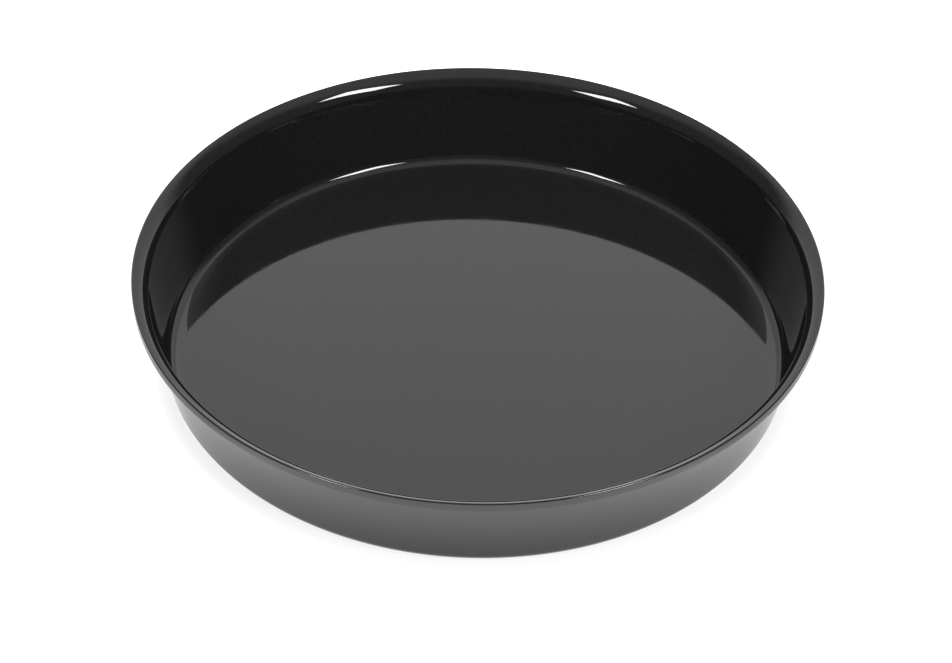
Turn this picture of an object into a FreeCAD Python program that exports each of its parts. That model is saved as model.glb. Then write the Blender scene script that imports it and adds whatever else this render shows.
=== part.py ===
import FreeCAD, Part
import math
import os
import Sketcher

# Round enamelled baking pan, 350 mm across the lip and 53 mm high.
#
# The pan is one deep-drawn sheet steel pressing with vitreous enamel fused to both faces:
#   steel_pressing  base, bottom corner, leaning wall, flared lip and turned-down edge
#   inside_enamel   coat on the inside, carried over the lip to the tip of the turned-down edge
#   outside_enamel  coat on the underside and the outside, carried up under the lip to that tip
#
# Frame: millimetres, +Z up, origin on the pan's axis in the plane that it stands on.
#
# All three pieces are revolved about Z from sketches in the XZ plane. A sketch follows the
# sheet from the axis to the tip of its edge along two parallel faces. A face is named by its
# depth, measured from the pan's outer skin, at depth zero, in towards its inner skin. The bends
# share their centres, so a face at any depth has the same flats at the same slopes.
#
# The base is flat as far as a wide, shallow bend, the ease, which lifts its margin a fraction
# of a millimetre before the tight bottom corner turns it up into the wall.

SHEET = "Dimensions"

DIMENSIONS = {
    "rim_radius": (175.0, "outermost radius, on the turned-down edge"),
    "rim_height": (52.9, "level that the top of the edge bend touches"),
    "tip_height": (48.1, "lowest level of the turned-down edge"),
    "foot_radius": (150.0, "radius of the flat base, where the ease starts"),
    "ease_radius": (32.0, "radius of the ease on the outer skin"),
    "ease_angle": (8.5, "slope at which the ease runs into the bottom corner, degrees"),
    "corner_radius": (6.3, "bottom corner's radius on the outer skin"),
    "wall_angle": (79.5, "slope of the wall from level, degrees"),
    "lip_angle": (18.0, "slope of the lip's flat from level, rising outwards, degrees"),
    "lip_bend_radius": (9.8, "radius under the flare, on the outer skin"),
    "edge_bend_radius": (0.03, "radius inside the bend to the turned-down edge, on the outer skin"),
    "steel_thickness": (0.5, "thickness of the sheet"),
    "enamel_thickness": (0.1, "thickness of the coat on each face"),
}

# Depths of the four faces, as expressions in the sheet's cells.
OUTER_SKIN = "0"
STEEL_OUTSIDE = f"{SHEET}.enamel_thickness"
STEEL_INSIDE = f"({SHEET}.enamel_thickness + {SHEET}.steel_thickness)"
INNER_SKIN = f"(2 * {SHEET}.enamel_thickness + {SHEET}.steel_thickness)"

# Ends of a sketch's edges and the ids of its own origin and axes.
START, END, CENTRE = 1, 2, 3
ROOT, ROOT_POINT = -1, 1
VERTICAL_AXIS = -2


def size(name):
    """A driving dimension as a plain number."""
    return DIMENSIONS[name][0]


def make_sheet(doc):
    """The spreadsheet of driving dimensions: name, value and meaning, one row each."""
    sheet = doc.addObject("Spreadsheet::Sheet", SHEET)
    for row, (name, (value, meaning)) in enumerate(DIMENSIONS.items(), start=1):
        sheet.set(f"A{row}", name)
        sheet.set(f"B{row}", str(value))
        sheet.set(f"C{row}", meaning)
        sheet.setAlias(f"B{row}", name)
    doc.recompute()


def dot(a, b):
    return a[0] * b[0] + a[1] * b[1]


def on_circle(centre, radius, angle):
    return (centre[0] + radius * math.cos(angle), centre[1] + radius * math.sin(angle))


class Section:
    """Where the sheet's bends lie, worked out once so that every sketch starts solved."""

    def __init__(self):
        self.coat = size("enamel_thickness")
        self.whole = 2 * self.coat + size("steel_thickness")
        self.ease = math.radians(size("ease_angle"))
        self.wall = math.radians(size("wall_angle"))
        self.lip = math.radians(size("lip_angle"))
        edge_outer = size("edge_bend_radius") + self.whole
        self.ease_centre = (size("foot_radius"), size("ease_radius"))
        between = size("ease_radius") - size("corner_radius")
        self.corner_centre = on_circle(self.ease_centre, between, self.ease - math.pi / 2)
        self.edge_centre = (size("rim_radius") - edge_outer, size("rim_height") - edge_outer)
        self.lip_centre = self.find_lip_centre()

    def find_lip_centre(self):
        """Centre of the flare: its bend touches both the wall's and the lip's outer skins."""
        bend = size("lip_bend_radius")
        wall_out = (math.sin(self.wall), -math.cos(self.wall))
        lip_up = (-math.sin(self.lip), math.cos(self.lip))
        along_wall_out = dot(self.corner_centre, wall_out) + size("corner_radius") + bend
        along_lip_up = dot(self.edge_centre, lip_up) + size("edge_bend_radius") - bend
        turn = wall_out[0] * lip_up[1] - wall_out[1] * lip_up[0]
        x = (along_wall_out * lip_up[1] - along_lip_up * wall_out[1]) / turn
        y = (wall_out[0] * along_lip_up - lip_up[0] * along_wall_out) / turn
        return (x, y)


def arc(centre, radius, first, last):
    """Anticlockwise arc in the sketch's plane between two angles in radians."""
    circle = Part.Circle(FreeCAD.Vector(*centre, 0), FreeCAD.Vector(0, 0, 1), radius)
    return Part.ArcOfCircle(circle, first, last)


def line(first, last):
    return Part.LineSegment(FreeCAD.Vector(*first, 0), FreeCAD.Vector(*last, 0))


class Outline:
    """A sketch in a body's XZ plane whose edges are tied to the sheet as they are added."""

    def __init__(self, body, name):
        self.sketch = body.newObject("Sketcher::SketchObject", name)
        plane = next(f for f in body.Origin.OriginFeatures if f.Role == "XZ_Plane")
        self.sketch.AttachmentSupport = [(plane, "")]
        self.sketch.MapMode = "FlatFace"

    def edge(self, geometry):
        return self.sketch.addGeometry(geometry, False)

    def tie(self, *words):
        return self.sketch.addConstraint(Sketcher.Constraint(*words))

    def tie_size(self, expression, *words):
        """A dimension of the sketch that follows an expression in the sheet's cells."""
        index = self.tie(*words)
        self.sketch.setExpression(f"Constraints[{index}]", expression)

    def tie_place(self, edge, point, x_value, x_expression, y_value, y_expression):
        self.tie_size(x_expression, "DistanceX", ROOT, ROOT_POINT, edge, point, x_value)
        self.tie_size(y_expression, "DistanceY", ROOT, ROOT_POINT, edge, point, y_value)


def add_face(outline, section, depth, depth_expression, tip_level):
    """One face of the sheet from the axis to the tip: returns its first and last edges."""
    ease, wall, lip = section.ease, section.wall, section.lip
    level, upright = 0.0, math.pi / 2
    ease_radius = size("ease_radius") - depth
    corner_radius = size("corner_radius") - depth
    flare_radius = size("lip_bend_radius") + depth
    edge_radius = size("edge_bend_radius") + depth
    edge_outer = f"({SHEET}.edge_bend_radius + {INNER_SKIN})"

    foot_end = on_circle(section.ease_centre, ease_radius, -upright)
    ease_end = on_circle(section.ease_centre, ease_radius, ease - upright)
    wall_foot = on_circle(section.corner_centre, corner_radius, wall - upright)
    wall_top = on_circle(section.lip_centre, flare_radius, wall + upright)
    lip_start = on_circle(section.lip_centre, flare_radius, lip + upright)
    lip_end = on_circle(section.edge_centre, edge_radius, lip + upright)
    edge_end = on_circle(section.edge_centre, edge_radius, level)

    base = outline.edge(line((0, depth), foot_end))
    margin = outline.edge(arc(section.ease_centre, ease_radius, -upright, ease - upright))
    corner = outline.edge(arc(section.corner_centre, corner_radius, ease - upright, wall - upright))
    side = outline.edge(line(wall_foot, wall_top))
    flare = outline.edge(arc(section.lip_centre, flare_radius, lip + upright, wall + upright))
    flat = outline.edge(line(lip_start, lip_end))
    bend = outline.edge(arc(section.edge_centre, edge_radius, level, lip + upright))
    skirt = outline.edge(line(edge_end, (edge_end[0], tip_level)))

    outline.tie("PointOnObject", base, START, VERTICAL_AXIS)
    outline.tie("Horizontal", base)
    outline.tie("Tangent", base, END, margin, START)
    outline.tie("Tangent", margin, END, corner, START)
    outline.tie("Tangent", corner, END, side, START)
    outline.tie("Tangent", side, END, flare, END)
    outline.tie("Tangent", flare, START, flat, START)
    outline.tie("Tangent", flat, END, bend, END)
    outline.tie("Tangent", bend, START, skirt, START)
    outline.tie("Vertical", skirt)

    outline.tie_place(
        margin, CENTRE,
        section.ease_centre[0], f"{SHEET}.foot_radius",
        section.ease_centre[1], f"{SHEET}.ease_radius",
    )
    outline.tie_size(
        f"{SHEET}.foot_radius + ({SHEET}.ease_radius - {depth_expression}) * sin({SHEET}.ease_angle)",
        "DistanceX", ROOT, ROOT_POINT, margin, END, ease_end[0],
    )
    outline.tie_place(
        bend, CENTRE,
        section.edge_centre[0], f"{SHEET}.rim_radius - {edge_outer}",
        section.edge_centre[1], f"{SHEET}.rim_height - {edge_outer}",
    )
    outline.tie_size(f"{SHEET}.ease_radius - {depth_expression}", "Radius", margin, ease_radius)
    outline.tie_size(f"{SHEET}.corner_radius - {depth_expression}", "Radius", corner, corner_radius)
    outline.tie_size(f"{SHEET}.lip_bend_radius + {depth_expression}", "Radius", flare, flare_radius)
    outline.tie_size(f"{SHEET}.edge_bend_radius + {depth_expression}", "Radius", bend, edge_radius)
    outline.tie_size(f"{SHEET}.wall_angle", "Angle", side, wall)
    outline.tie_size(f"{SHEET}.lip_angle", "Angle", flat, lip)
    return base, skirt


def tip_centre(section):
    """Middle of the laminate where the turned-down edge starts to round off."""
    return (size("rim_radius") - section.whole / 2, size("tip_height") + section.whole / 2)


def tie_to_tip_centre(outline, section, edge, point):
    x, y = tip_centre(section)
    outline.tie_place(
        edge, point,
        x, f"{SHEET}.rim_radius - {INNER_SKIN} / 2",
        y, f"{SHEET}.tip_height + {INNER_SKIN} / 2",
    )


def close_on_axis(outline, lower_base, upper_base, lower, upper):
    axis = outline.edge(line((0, lower), (0, upper)))
    outline.tie("Coincident", axis, START, lower_base, START)
    outline.tie("Coincident", axis, END, upper_base, START)


def steel_outline(body, section):
    """The bare sheet: cut square at the tip of its turned-down edge."""
    outline = Outline(body, "SteelSection")
    level = tip_centre(section)[1]
    lower, upper = section.coat, section.whole - section.coat
    lower_base, lower_skirt = add_face(outline, section, lower, STEEL_OUTSIDE, level)
    upper_base, upper_skirt = add_face(outline, section, upper, STEEL_INSIDE, level)
    close_on_axis(outline, lower_base, upper_base, lower, upper)
    outer = size("rim_radius")
    cut = outline.edge(line((outer - section.whole + lower, level), (outer - section.coat, level)))
    outline.tie("Coincident", cut, START, lower_skirt, END)
    outline.tie("Coincident", cut, END, upper_skirt, END)
    outline.tie("Horizontal", cut)
    outline.tie_size(
        f"{SHEET}.tip_height + {INNER_SKIN} / 2", "DistanceY", ROOT, ROOT_POINT, cut, START, level
    )
    return outline.sketch


def coat_outline(body, section, name, on_steel, on_steel_expression, skin, skin_expression):
    """A coat on one face of the steel: at the tip it rounds under the cut edge to its middle."""
    outline = Outline(body, name)
    centre = tip_centre(section)
    rounding = section.whole / 2
    steel_base, steel_skirt = add_face(outline, section, on_steel, on_steel_expression, centre[1])
    skin_base, skin_skirt = add_face(outline, section, skin, skin_expression, centre[1])
    close_on_axis(outline, steel_base, skin_base, on_steel, skin)

    steel_corner = (size("rim_radius") - section.whole + on_steel, centre[1])
    lowest = (centre[0], size("tip_height"))
    under_cut = outline.edge(line(steel_corner, centre))
    seam = outline.edge(line(centre, lowest))
    if skin > on_steel:
        quarter = outline.edge(arc(centre, rounding, -math.pi / 2, 0))
        quarter_skin, quarter_low = END, START
    else:
        quarter = outline.edge(arc(centre, rounding, math.pi, 3 * math.pi / 2))
        quarter_skin, quarter_low = START, END

    outline.tie("Coincident", under_cut, START, steel_skirt, END)
    outline.tie("Horizontal", under_cut)
    outline.tie("Coincident", under_cut, END, seam, START)
    outline.tie("Vertical", seam)
    outline.tie("Coincident", quarter, CENTRE, seam, START)
    outline.tie("Coincident", quarter, quarter_low, seam, END)
    outline.tie("Tangent", quarter, quarter_skin, skin_skirt, END)
    tie_to_tip_centre(outline, section, seam, START)
    return outline.sketch


def revolve(body, sketch, name):
    """The whole turn of a sketch about the pan's axis."""
    turned = body.newObject("PartDesign::Revolution", name)
    turned.Profile = sketch
    turned.ReferenceAxis = (sketch, ["V_Axis"])
    turned.Angle = 360.0
    sketch.Visibility = False
    return turned


def make_body(doc, label):
    body = doc.addObject("PartDesign::Body", label)
    body.Label = label
    body.Placement = FreeCAD.Placement()
    return body


def make_steel_pressing(doc, section):
    body = make_body(doc, "steel_pressing")
    revolve(body, steel_outline(body, section), "PressedSheet")
    return body


def make_inside_enamel(doc, section):
    body = make_body(doc, "inside_enamel")
    on_steel, skin = section.whole - section.coat, section.whole
    sketch = coat_outline(
        body, section, "InsideCoatSection", on_steel, STEEL_INSIDE, skin, INNER_SKIN
    )
    revolve(body, sketch, "InsideCoat")
    return body


def make_outside_enamel(doc, section):
    body = make_body(doc, "outside_enamel")
    on_steel, skin = section.coat, 0.0
    sketch = coat_outline(
        body, section, "OutsideCoatSection", on_steel, STEEL_OUTSIDE, skin, OUTER_SKIN
    )
    revolve(body, sketch, "OutsideCoat")
    return body


def check(doc, bodies):
    """Stops before anything is written if an object failed or a piece isn't one good solid."""
    for obj in doc.Objects:
        if "Invalid" in obj.State or "Error" in obj.State:
            raise RuntimeError(f"{obj.Label} did not recompute: {obj.State}")
    for body in bodies:
        shape = body.Shape
        if shape.isNull() or not shape.isValid() or len(shape.Solids) != 1:
            raise RuntimeError(f"{body.Label} is not one valid solid")


def main():
    doc = FreeCAD.newDocument("EnamelledPan")
    make_sheet(doc)
    section = Section()
    bodies = [
        make_steel_pressing(doc, section),
        make_inside_enamel(doc, section),
        make_outside_enamel(doc, section),
    ]
    doc.recompute()
    check(doc, bodies)
    os.makedirs("parts", exist_ok=True)
    for body in bodies:
        body.Shape.exportStep(f"parts/{body.Label}.step")
        print(f"{body.Label}: {body.Shape.Volume / 1000:.2f} cm3")


main()
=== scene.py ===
import math

import bmesh
import bpy
from mathutils import Matrix, Vector, noise


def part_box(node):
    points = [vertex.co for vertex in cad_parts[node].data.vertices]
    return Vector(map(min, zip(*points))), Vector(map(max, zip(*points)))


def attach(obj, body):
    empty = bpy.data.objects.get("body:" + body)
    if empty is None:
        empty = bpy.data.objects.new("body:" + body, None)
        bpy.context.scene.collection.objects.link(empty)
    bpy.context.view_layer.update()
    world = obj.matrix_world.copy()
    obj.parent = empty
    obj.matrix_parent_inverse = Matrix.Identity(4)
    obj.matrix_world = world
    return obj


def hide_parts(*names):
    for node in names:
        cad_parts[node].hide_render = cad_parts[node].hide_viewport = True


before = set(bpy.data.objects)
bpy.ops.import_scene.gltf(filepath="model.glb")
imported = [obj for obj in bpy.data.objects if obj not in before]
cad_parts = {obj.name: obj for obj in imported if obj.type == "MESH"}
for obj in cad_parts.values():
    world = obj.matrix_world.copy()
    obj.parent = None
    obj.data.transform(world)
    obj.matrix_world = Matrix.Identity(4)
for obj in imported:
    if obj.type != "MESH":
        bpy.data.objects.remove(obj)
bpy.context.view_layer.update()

# Round enamelled baking pan: a thin steel pressing with glossy black enamel on both faces.
# The two coats and the steel between them are turned finely here from the CAD's own section,
# and replace the three CAD nodes. Metres, +Z up, origin on the pan's axis in the plane that
# it stands on. The camera looks along +Y, with +X to the right.

MM = 0.001
RIGHT_ANGLE = math.pi / 2

# The sheet's bends, as in the CAD. The rim's radius and height come from the CAD box.
FOOT_RADIUS = 150.0 * MM
EASE_RADIUS = 32.0 * MM
EASE_ANGLE = math.radians(8.5)
CORNER_RADIUS = 6.3 * MM
WALL_ANGLE = math.radians(79.5)
LIP_ANGLE = math.radians(18.0)
LIP_BEND_RADIUS = 9.8 * MM
EDGE_BEND_RADIUS = 0.03 * MM
TIP_HEIGHT = 48.1 * MM
STEEL = 0.5 * MM
COAT = 0.1 * MM
LAMINATE = STEEL + 2 * COAT

# Steps round the axis, which keep each piece under 200,000 triangles, and steps along the
# section: (radians round a bend, metres across the base, metres up a wall).
SEGMENTS = 512
SHOWN = (math.radians(2.0), 6 * MM, 2 * MM)
HIDDEN = (math.radians(8.0), 30 * MM, 12 * MM)
FEWEST_ARC_STEPS = 4
# The edge bend and the tip are so tight that their steps are this many times as wide.
EDGE_COARSER = 3
TIP_COARSER = 5
# Points nearer each other, or nearer the axis, than these are one point.
SAME_PLACE = 1e-6
ON_AXIS = 1e-7


# ---------------------------------------------------------------- section of the sheet

def dot(a, b):
    return a[0] * b[0] + a[1] * b[1]


def on_circle(centre, radius, angle):
    return (centre[0] + radius * math.cos(angle), centre[1] + radius * math.sin(angle))


class Section:
    """Centres of the sheet's bends in the (radius, height) plane, in metres."""

    def __init__(self, rim_radius, rim_height):
        edge_outer = EDGE_BEND_RADIUS + LAMINATE
        between = EASE_RADIUS - CORNER_RADIUS
        self.ease_centre = (FOOT_RADIUS, EASE_RADIUS)
        self.corner_centre = on_circle(self.ease_centre, between, EASE_ANGLE - RIGHT_ANGLE)
        self.edge_centre = (rim_radius - edge_outer, rim_height - edge_outer)
        wall_out = (math.sin(WALL_ANGLE), -math.cos(WALL_ANGLE))
        lip_up = (-math.sin(LIP_ANGLE), math.cos(LIP_ANGLE))
        along_wall = dot(self.corner_centre, wall_out) + CORNER_RADIUS + LIP_BEND_RADIUS
        along_lip = dot(self.edge_centre, lip_up) + EDGE_BEND_RADIUS - LIP_BEND_RADIUS
        turn = wall_out[0] * lip_up[1] - wall_out[1] * lip_up[0]
        self.lip_centre = (
            (along_wall * lip_up[1] - along_lip * wall_out[1]) / turn,
            (wall_out[0] * along_lip - lip_up[0] * along_wall) / turn,
        )
        self.tip_centre = (rim_radius - LAMINATE / 2, TIP_HEIGHT + LAMINATE / 2)

    def face(self, depth, steps):
        """Points of the face at a depth from the outer skin, from the axis to the tip."""
        arc_step, base_step, wall_step = steps
        ease, corner = EASE_RADIUS - depth, CORNER_RADIUS - depth
        flare, edge = LIP_BEND_RADIUS + depth, EDGE_BEND_RADIUS + depth
        foot_end, corner_start = -RIGHT_ANGLE, EASE_ANGLE - RIGHT_ANGLE
        corner_end, flare_start = WALL_ANGLE - RIGHT_ANGLE, WALL_ANGLE + RIGHT_ANGLE
        lip_slope = LIP_ANGLE + RIGHT_ANGLE
        points = straight((0.0, depth), (FOOT_RADIUS, depth), base_step)
        points += bend(self.ease_centre, ease, foot_end, corner_start, arc_step)
        points += bend(self.corner_centre, corner, corner_start, corner_end, arc_step)
        wall_top = on_circle(self.lip_centre, flare, flare_start)
        points += straight(points[-1], wall_top, wall_step)
        points += bend(self.lip_centre, flare, flare_start, lip_slope, arc_step)
        points += bend(self.edge_centre, edge, lip_slope, 0.0, EDGE_COARSER * arc_step)
        points += straight(points[-1], (points[-1][0], self.tip_centre[1]), wall_step)
        return points


def straight(first, last, step):
    """Points from first to last, both included, no further apart than the step."""
    count = max(1, math.ceil(math.dist(first, last) / step))
    return [
        (first[0] + (last[0] - first[0]) * i / count, first[1] + (last[1] - first[1]) * i / count)
        for i in range(count + 1)
    ]


def bend(centre, radius, first, last, step):
    """Points along an arc, both ends included, no further apart in angle than the step."""
    count = max(FEWEST_ARC_STEPS, math.ceil(abs(last - first) / step))
    return [on_circle(centre, radius, first + (last - first) * i / count) for i in range(count + 1)]


def coat_section(section, skin, on_steel):
    """Run of points round one coat: out along its skin, round the tip, back along the steel."""
    centre = section.tip_centre
    tip_step = SHOWN[0] * TIP_COARSER
    points = section.face(skin, SHOWN)
    if skin > on_steel:
        points += bend(centre, LAMINATE / 2, 0.0, -RIGHT_ANGLE, tip_step)
    else:
        points += bend(centre, LAMINATE / 2, math.pi, math.pi + RIGHT_ANGLE, tip_step)
    points.append(centre)
    points += reversed(section.face(on_steel, HIDDEN))
    return without_doubles(points)


def steel_section(section):
    """Run of points round the bare sheet, which is cut square at the tip."""
    points = section.face(LAMINATE - COAT, HIDDEN)
    points += reversed(section.face(COAT, HIDDEN))
    return without_doubles(points)


def without_doubles(points):
    """The same run of points, without those that lie on the one before."""
    kept = [points[0]]
    for point in points[1:]:
        if math.dist(point, kept[-1]) > SAME_PLACE:
            kept.append(point)
    return kept


# ---------------------------------------------------------------- turning the section

# The faint waves of a thin pressing. They die out at the foot and the lip, and the base only
# rises, so the pan's box stays as it is.
WALL_WAVE = 0.05 * MM
WALL_WAVE_LENGTH = 26 * MM
WALL_WAVE_FOOT = 7 * MM
WALL_WAVE_TOP = 44 * MM
BASE_WAVE = 0.04 * MM
BASE_WAVE_LENGTH = 70 * MM
BASE_WAVE_RADIUS = 135 * MM


def sheet_point(radius, height, angle):
    """Place of a point of the section, turned to an angle and moved by the sheet's waves."""
    around = Vector((math.cos(angle), math.sin(angle), 0.0))
    climb = min(1.0, max(0.0, (height - WALL_WAVE_FOOT) / (WALL_WAVE_TOP - WALL_WAVE_FOOT)))
    wall_place = around * (FOOT_RADIUS / WALL_WAVE_LENGTH)
    wall_place.z = height / (2 * WALL_WAVE_LENGTH)
    outward = WALL_WAVE * math.sin(math.pi * climb) ** 2 * noise.noise(wall_place)
    across = max(0.0, 1.0 - (radius / BASE_WAVE_RADIUS) ** 2)
    upward = BASE_WAVE * across * (0.5 + 0.5 * noise.noise(around * (radius / BASE_WAVE_LENGTH)))
    place = around * (radius + outward)
    place.z = height + upward
    return place


def turned(name, points):
    """A closed mesh from a section whose first and last points are on the axis."""
    mesh_maker = bmesh.new()
    angles = [2 * math.pi * i / SEGMENTS for i in range(SEGMENTS)]
    rings = []
    for radius, height in points:
        if radius < ON_AXIS:
            rings.append([mesh_maker.verts.new(sheet_point(0.0, height, 0.0))])
        else:
            rings.append([mesh_maker.verts.new(sheet_point(radius, height, a)) for a in angles])
    for near, far in zip(rings, rings[1:]):
        for i in range(SEGMENTS):
            j = (i + 1) % SEGMENTS
            if len(near) == 1:
                corners = [near[0], far[i], far[j]]
            elif len(far) == 1:
                corners = [near[i], far[0], near[j]]
            else:
                corners = [near[i], far[i], far[j], near[j]]
            mesh_maker.faces.new(corners)
    bmesh.ops.recalc_face_normals(mesh_maker, faces=mesh_maker.faces)
    mesh = bpy.data.meshes.new(name)
    mesh_maker.to_mesh(mesh)
    mesh_maker.free()
    mesh.polygons.foreach_set("use_smooth", [True] * len(mesh.polygons))
    piece = bpy.data.objects.new(name, mesh)
    bpy.context.scene.collection.objects.link(piece)
    return piece


# ---------------------------------------------------------------- shader nodes

# Blender's noise seldom leaves this range.
NOISE_LOW, NOISE_HIGH = 0.3, 0.7


def new_material(name):
    """A material with a Principled shader alone: the material, its tree and the shader."""
    material = bpy.data.materials.new(name)
    material.use_nodes = True
    tree = material.node_tree
    tree.nodes.clear()
    output = tree.nodes.new("ShaderNodeOutputMaterial")
    shader = tree.nodes.new("ShaderNodeBsdfPrincipled")
    tree.links.new(shader.outputs["BSDF"], output.inputs["Surface"])
    return material, tree, shader


def feed(tree, socket, value):
    """Sets a socket to a number, or links it to another node's output."""
    if isinstance(value, (int, float)):
        socket.default_value = value
    else:
        tree.links.new(value, socket)


def map_range(tree, value, low, high, at_low, at_high):
    """A Map Range node that runs from at_low to at_high as the value goes from low to high."""
    made = tree.nodes.new("ShaderNodeMapRange")
    feed(tree, made.inputs["Value"], value)
    feed(tree, made.inputs["From Min"], low)
    feed(tree, made.inputs["From Max"], high)
    feed(tree, made.inputs["To Min"], at_low)
    feed(tree, made.inputs["To Max"], at_high)
    return made


def ramp(tree, value, low, high, at_low, at_high):
    """Smooth change from at_low to at_high as the value goes from low to high."""
    made = map_range(tree, value, low, high, at_low, at_high)
    made.interpolation_type = "SMOOTHSTEP"
    return made.outputs["Result"]


def spread(tree, value, at_low, at_high):
    """The middle of a noise field stretched out to run from at_low to at_high."""
    return map_range(tree, value, NOISE_LOW, NOISE_HIGH, at_low, at_high).outputs["Result"]


def maths(tree, operation, *values):
    """The result of one Math node."""
    made = tree.nodes.new("ShaderNodeMath")
    made.operation = operation
    for socket, value in zip(made.inputs, values):
        feed(tree, socket, value)
    return made.outputs["Value"]


def axes(tree, place):
    """The X, Y and Z outputs of one of the texture coordinates."""
    source = tree.nodes.new("ShaderNodeTexCoord")
    parts = tree.nodes.new("ShaderNodeSeparateXYZ")
    tree.links.new(source.outputs[place], parts.inputs["Vector"])
    return parts.outputs


def noise_field(tree, grain, detail, stretch=(1.0, 1.0, 1.0)):
    """Noise from 0 to 1 over the object, with grains of about the given size in metres."""
    place = tree.nodes.new("ShaderNodeTexCoord")
    mapping = tree.nodes.new("ShaderNodeMapping")
    mapping.inputs["Scale"].default_value = stretch
    tree.links.new(place.outputs["Object"], mapping.inputs["Vector"])
    field = tree.nodes.new("ShaderNodeTexNoise")
    field.inputs["Scale"].default_value = 1.0 / grain
    field.inputs["Detail"].default_value = detail
    tree.links.new(mapping.outputs["Vector"], field.inputs["Vector"])
    return field.outputs["Fac"]


def two_colours(tree, value, dark, light):
    """The colour between dark and light that a value from 0 to 1 picks."""
    mix = tree.nodes.new("ShaderNodeMix")
    mix.data_type = "RGBA"
    tree.links.new(value, mix.inputs["Factor"])
    mix.inputs["A"].default_value = (*dark, 1.0)
    mix.inputs["B"].default_value = (*light, 1.0)
    return mix.outputs["Result"]


def relief(tree, height, depth):
    """The normal of a surface that rises by the depth, in metres, as the height goes to 1."""
    bump = tree.nodes.new("ShaderNodeBump")
    bump.inputs["Distance"].default_value = depth
    tree.links.new(height, bump.inputs["Height"])
    return bump.outputs["Normal"]


# ---------------------------------------------------------------- materials

ENAMEL_IOR = 1.52
FRIT_GRAIN, FRIT_DETAIL = 0.9 * MM, 3.0
GLOSS_PATCH, GLOSS_DETAIL = 14 * MM, 4.0
PEEL_SIZE, PEEL_DETAIL = 1.8 * MM, 1.0
INSIDE_DARK, INSIDE_LIGHT = (0.0042, 0.0042, 0.0043), (0.0105, 0.0105, 0.0107)
INSIDE_ROUGHNESS = (0.02, 0.06)
INSIDE_PEEL = 0.0025 * MM
OUTSIDE_DARK, OUTSIDE_LIGHT = (0.0030, 0.0030, 0.0031), (0.0100, 0.0100, 0.0103)
OUTSIDE_ROUGHNESS = (0.05, 0.14)
OUTSIDE_PEEL = 0.006 * MM

STEEL_DARK, STEEL_LIGHT = (0.30, 0.30, 0.31), (0.44, 0.44, 0.45)
STEEL_ROUGHNESS = (0.38, 0.55)
MOTTLE_PATCH, MOTTLE_DETAIL = 9 * MM, 4.0
ROLLING_GRAIN, ROLLING_DETAIL, ROLLING_RELIEF = 0.35 * MM, 3.0, 0.01 * MM
ALONG_X = (0.04, 1.0, 1.0)


def enamel(name, dark, light, roughness, peel):
    """Fired black glass: fine frit grain in its colour, an orange-peel skin and uneven gloss."""
    material, tree, shader = new_material(name)
    grain = spread(tree, noise_field(tree, FRIT_GRAIN, FRIT_DETAIL), 0.0, 1.0)
    tree.links.new(two_colours(tree, grain, dark, light), shader.inputs["Base Color"])
    gloss = spread(tree, noise_field(tree, GLOSS_PATCH, GLOSS_DETAIL), *roughness)
    tree.links.new(gloss, shader.inputs["Roughness"])
    skin = relief(tree, noise_field(tree, PEEL_SIZE, PEEL_DETAIL), peel)
    tree.links.new(skin, shader.inputs["Normal"])
    shader.inputs["IOR"].default_value = ENAMEL_IOR
    return material


def steel(name):
    """Pickled sheet steel, grey and faintly mottled, with fine rolling grain along X."""
    material, tree, shader = new_material(name)
    mottle = spread(tree, noise_field(tree, MOTTLE_PATCH, MOTTLE_DETAIL), 0.0, 1.0)
    colour = two_colours(tree, mottle, STEEL_DARK, STEEL_LIGHT)
    rolling = noise_field(tree, ROLLING_GRAIN, ROLLING_DETAIL, ALONG_X)
    tree.links.new(colour, shader.inputs["Base Color"])
    tree.links.new(spread(tree, rolling, *STEEL_ROUGHNESS), shader.inputs["Roughness"])
    tree.links.new(relief(tree, rolling, ROLLING_RELIEF), shader.inputs["Normal"])
    shader.inputs["Metallic"].default_value = 1.0
    return material


# ---------------------------------------------------------------- the pan

def add_piece(name, points, material, node):
    """Turns a section into the piece that stands for one CAD node."""
    piece = turned(name, points)
    piece.data.materials.append(material)
    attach(piece, "root")
    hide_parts(node)
    return piece


_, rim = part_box("inside_enamel")
section = Section(rim.x, rim.z)

inside = add_piece(
    "inside_glaze",
    coat_section(section, LAMINATE, LAMINATE - COAT),
    enamel("black_enamel_inside", INSIDE_DARK, INSIDE_LIGHT, INSIDE_ROUGHNESS, INSIDE_PEEL),
    "inside_enamel",
)

outside = add_piece(
    "outside_glaze",
    coat_section(section, 0.0, COAT),
    enamel("black_enamel_outside", OUTSIDE_DARK, OUTSIDE_LIGHT, OUTSIDE_ROUGHNESS, OUTSIDE_PEEL),
    "outside_enamel",
)

pressing = add_piece(
    "steel_sheet", steel_section(section), steel("bare_sheet_steel"), "steel_pressing"
)


# ---------------------------------------------------------------- floor

FLOOR_REACH = 30.0
FLOOR_DROP = 0.2 * MM
FLOOR_ROUGHNESS = 0.9
# The floor's glow is painted light, not a lamp. It rises from the foot of the pan outwards: the dim
# glow at the foot is painted shade, and the bright strip ahead of and behind the pan is a painted
# pool of light. It settles at a lower level at both sides. Where it settles, the floor is also
# darker, so that the lamps add little to it and the painted glow alone keeps it white.
PAINTED_FOOT_SHADE_GLOW, PAINTED_POOL_GLOW, PAINTED_SIDE_GLOW = 0.78, 1.78, 1.02
GLOW_START, GLOW_END = FOOT_RADIUS + 10 * MM, FOOT_RADIUS + 42 * MM
SIDE_START, SIDE_END = 150 * MM, 195 * MM
FLOOR_SHADE, SIDE_SHADE = 0.20, 0.05


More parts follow.
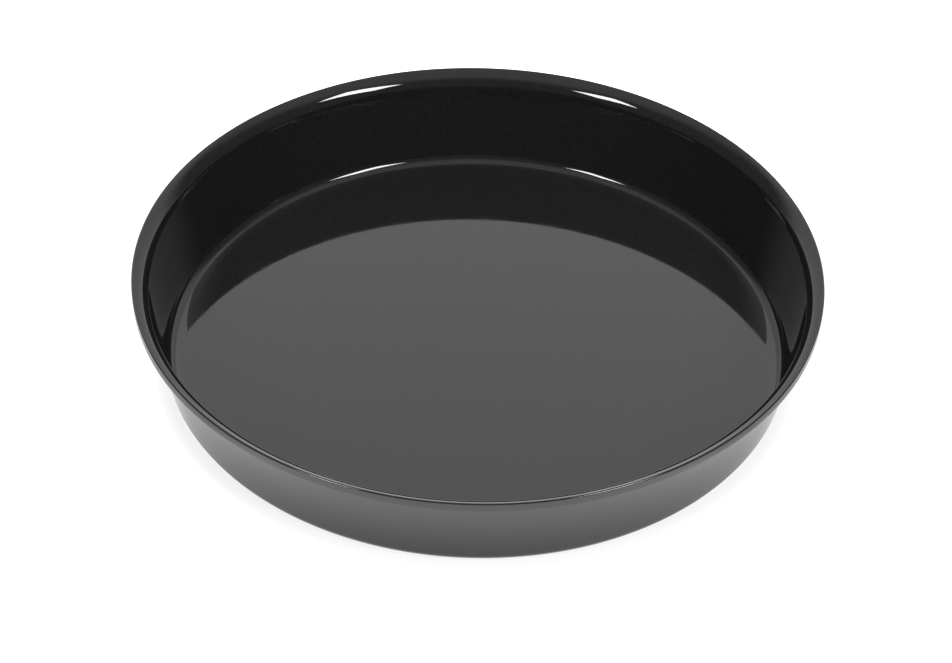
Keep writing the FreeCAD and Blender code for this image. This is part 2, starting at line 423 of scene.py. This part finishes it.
def make_floor():
    """A floor whose painted glow keeps it white, with painted shade round the pan's foot and a
    painted pool of light beyond, and is what the outside of the pan reflects.
    """
    far = FLOOR_REACH
    mesh = bpy.data.meshes.new("floor")
    mesh.from_pydata(
        [(-far, -far, 0), (far, -far, 0), (far, far, 0), (-far, far, 0)], [], [(0, 1, 2, 3)]
    )
    floor = bpy.data.objects.new("floor", mesh)
    floor.location.z = -FLOOR_DROP
    bpy.context.scene.collection.objects.link(floor)
    material, tree, shader = new_material("floor_painted_glow")
    x, y, _ = axes(tree, "Object")
    squares = [maths(tree, "POWER", axis, 2.0) for axis in (x, y)]
    radius = maths(tree, "SQRT", maths(tree, "ADD", *squares))
    aside = maths(tree, "ABSOLUTE", x)
    # Painted glow: dim round the pan's foot as painted shade, bright beyond it as a painted pool of
    # light, and even at both sides.
    painted_pool_and_foot_shade = ramp(tree, radius, GLOW_START, GLOW_END, PAINTED_FOOT_SHADE_GLOW, PAINTED_POOL_GLOW)
    painted_glow = ramp(tree, aside, SIDE_START, SIDE_END, painted_pool_and_foot_shade, PAINTED_SIDE_GLOW)
    shade = ramp(tree, aside, SIDE_START, SIDE_END, FLOOR_SHADE, SIDE_SHADE)
    tree.links.new(shade, shader.inputs["Base Color"])
    tree.links.new(painted_glow, shader.inputs["Emission Strength"])
    shader.inputs["Emission Color"].default_value = (1.0, 1.0, 1.0, 1.0)
    shader.inputs["Roughness"].default_value = FLOOR_ROUGHNESS
    shader.inputs["Specular IOR Level"].default_value = 0.0
    mesh.materials.append(material)


# ---------------------------------------------------------------- lamps and room

LAMP_DISTANCE = 2.2
LAMP_RADIANCE = 25.0
OVERHEAD_DISTANCE = 2.0
OVERHEAD_RADIANCE = 8.5

# Light from the room, by the parts x, y and z of the direction that it comes from, each from
# -1 to 1. The brightness of the whole room, the ceiling, the wall behind the pan and the panel
# on it, and the ranges over which each of these fades in or out.
ROOM_LIGHT = 0.15
CEILING_LIGHT = 0.50
WALL_LIGHT = 0.80
PANEL_LIGHT = 1.35
CEILING_Z = (0.62, 0.90)
WALL_Y, WALL_Z = (0.36, 0.62), (0.70, 0.92)
PANEL_X, PANEL_Y, PANEL_Z = (0.07, 0.22), (0.0, 0.4), (0.35, 0.85)


def make_softbox(name, azimuth, elevation, tilt, distance, size, radiance):
    """A lamp that faces the pan. Azimuth is from the camera's side, positive to the right."""
    a, e = math.radians(azimuth), math.radians(elevation)
    place = Vector((math.sin(a) * math.cos(e), -math.cos(a) * math.cos(e), math.sin(e))) * distance
    width, height = size
    lamp = bpy.data.lights.new(name, "AREA")
    lamp.shape = "RECTANGLE"
    lamp.size, lamp.size_y = width, height
    lamp.energy = radiance * math.pi * width * height
    thing = bpy.data.objects.new(name, lamp)
    thing.location = place
    turn = place.to_track_quat("Z", "Y").to_matrix() @ Matrix.Rotation(math.radians(tilt), 3, "Z")
    thing.rotation_euler = turn.to_euler()
    bpy.context.scene.collection.objects.link(thing)
    return thing


def make_lamps():
    """Two softboxes in front of the pan, and a lamp over it that its gloss doesn't show."""
    make_softbox(
        "softbox_left", azimuth=-45.0, elevation=35.0, tilt=-28.0,
        distance=LAMP_DISTANCE, size=(0.64, 0.46), radiance=LAMP_RADIANCE,
    )
    make_softbox(
        "softbox_right", azimuth=46.0, elevation=40.0, tilt=28.0,
        distance=LAMP_DISTANCE, size=(0.84, 0.50), radiance=LAMP_RADIANCE,
    )
    overhead = make_softbox(
        "overhead", azimuth=0.0, elevation=86.0, tilt=0.0,
        distance=OVERHEAD_DISTANCE, size=(1.0, 1.0), radiance=OVERHEAD_RADIANCE,
    )
    overhead.visible_glossy = False


def make_surroundings():
    """A dim room with a paler wall behind the pan and a bright panel in the middle of it."""
    world = bpy.data.worlds.new("studio")
    bpy.context.scene.world = world
    world.use_nodes = True
    tree = world.node_tree
    tree.nodes.clear()
    x, y, z = axes(tree, "Generated")
    ceiling = ramp(tree, z, *CEILING_Z, 0.0, CEILING_LIGHT)
    wall_far = ramp(tree, y, *WALL_Y, 0.0, WALL_LIGHT)
    wall = maths(tree, "MULTIPLY", wall_far, ramp(tree, z, *WALL_Z, 1.0, 0.0))
    panel_low = ramp(tree, z, *PANEL_Z, PANEL_LIGHT, 0.0)
    panel_far = maths(tree, "MULTIPLY", panel_low, ramp(tree, y, *PANEL_Y, 0.0, 1.0))
    panel_wide = ramp(tree, maths(tree, "ABSOLUTE", x), *PANEL_X, 1.0, 0.0)
    panel = maths(tree, "MULTIPLY", panel_wide, panel_far)
    even = maths(tree, "ADD", ceiling, ROOM_LIGHT)
    total = maths(tree, "ADD", even, maths(tree, "ADD", wall, panel))
    background = tree.nodes.new("ShaderNodeBackground")
    tree.links.new(total, background.inputs["Strength"])
    background.inputs["Color"].default_value = (1.0, 1.0, 1.0, 1.0)
    output = tree.nodes.new("ShaderNodeOutputWorld")
    tree.links.new(background.outputs["Background"], output.inputs["Surface"])


# ---------------------------------------------------------------- camera

# Lens and sensor in millimetres, place and target in metres, roll in degrees. They were fitted
# so that the rim and the base lie as in the photo.
LENS = 120.0
SENSOR = 36.0
CAMERA_PLACE = Vector((0.0, -1.25025, 1.06156))
CAMERA_TARGET = Vector((-0.0004, 0.0, 0.0107))
ROLL = 1.37


def make_camera():
    """The camera at the photo's viewing angle."""
    camera = bpy.data.cameras.new("camera")
    camera.lens = LENS
    camera.sensor_width = SENSOR
    thing = bpy.data.objects.new("camera", camera)
    turn = (CAMERA_PLACE - CAMERA_TARGET).to_track_quat("Z", "Y").to_matrix()
    roll = Matrix.Rotation(math.radians(ROLL), 3, "Z")
    thing.matrix_world = Matrix.LocRotScale(CAMERA_PLACE, (turn @ roll).to_quaternion(), None)
    bpy.context.scene.collection.objects.link(thing)
    bpy.context.scene.camera = thing


make_floor()
make_lamps()
make_surroundings()
make_camera()
bpy.context.scene.view_settings.view_transform = "Standard"
